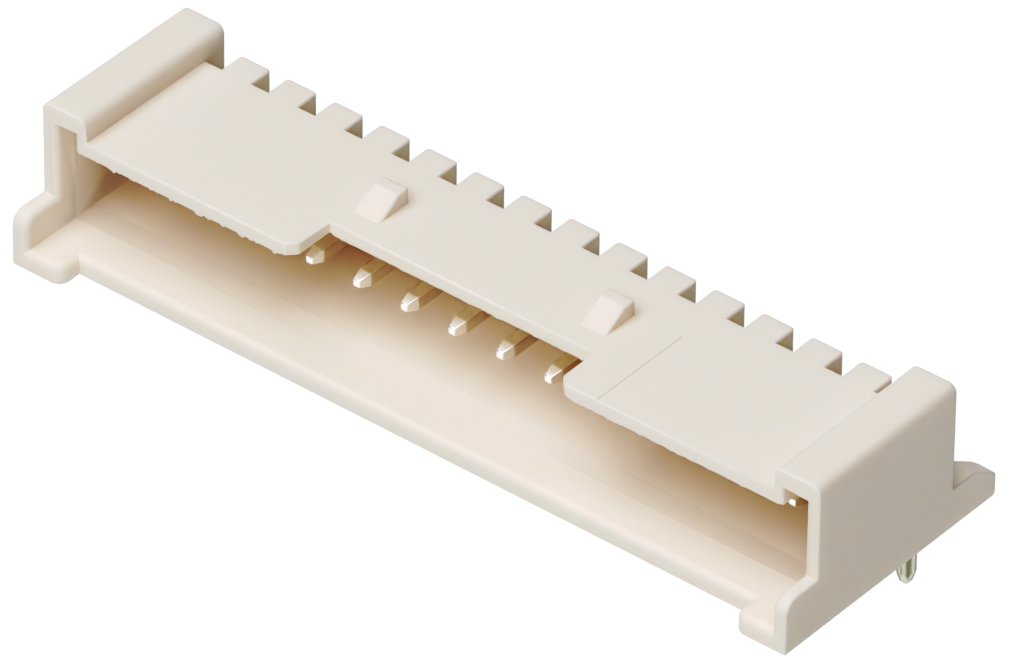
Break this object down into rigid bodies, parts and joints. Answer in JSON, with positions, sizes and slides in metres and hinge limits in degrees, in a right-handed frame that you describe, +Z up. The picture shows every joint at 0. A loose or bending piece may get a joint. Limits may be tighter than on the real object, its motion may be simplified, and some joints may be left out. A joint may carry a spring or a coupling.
{
  "type": "pin header",
  "caption": "Right-angle shrouded pin header: a moulded ivory housing with a keyed plug mouth and lock ramps, holding a row of bent square contacts with solder tails.",
  "frame": {"origin": "middle of the row of solder tails, in the plane of the board's surface", "axes": "+X along the row of contacts, +Z up from the board, the plug enters along +Y"},
  "size_m": [0.0324, 0.0109, 0.0094],
  "materials": {
    "housing_nylon": "natural ivory moulded nylon, fine satin texture, slightly translucent",
    "contact_tin": "bright tin plate on bent square copper-alloy wire"
  },
  "bodies": {
    "root": {"housing": "housing_nylon", "contact_01": "contact_tin", "contact_02": "contact_tin", "contact_03": "contact_tin", "contact_04": "contact_tin", "contact_05": "contact_tin", "contact_06": "contact_tin", "contact_07": "contact_tin", "contact_08": "contact_tin", "contact_09": "contact_tin", "contact_10": "contact_tin", "contact_11": "contact_tin", "contact_12": "contact_tin", "contact_13": "contact_tin", "contact_14": "contact_tin", "contact_15": "contact_tin"}
  },
  "joints": []
}
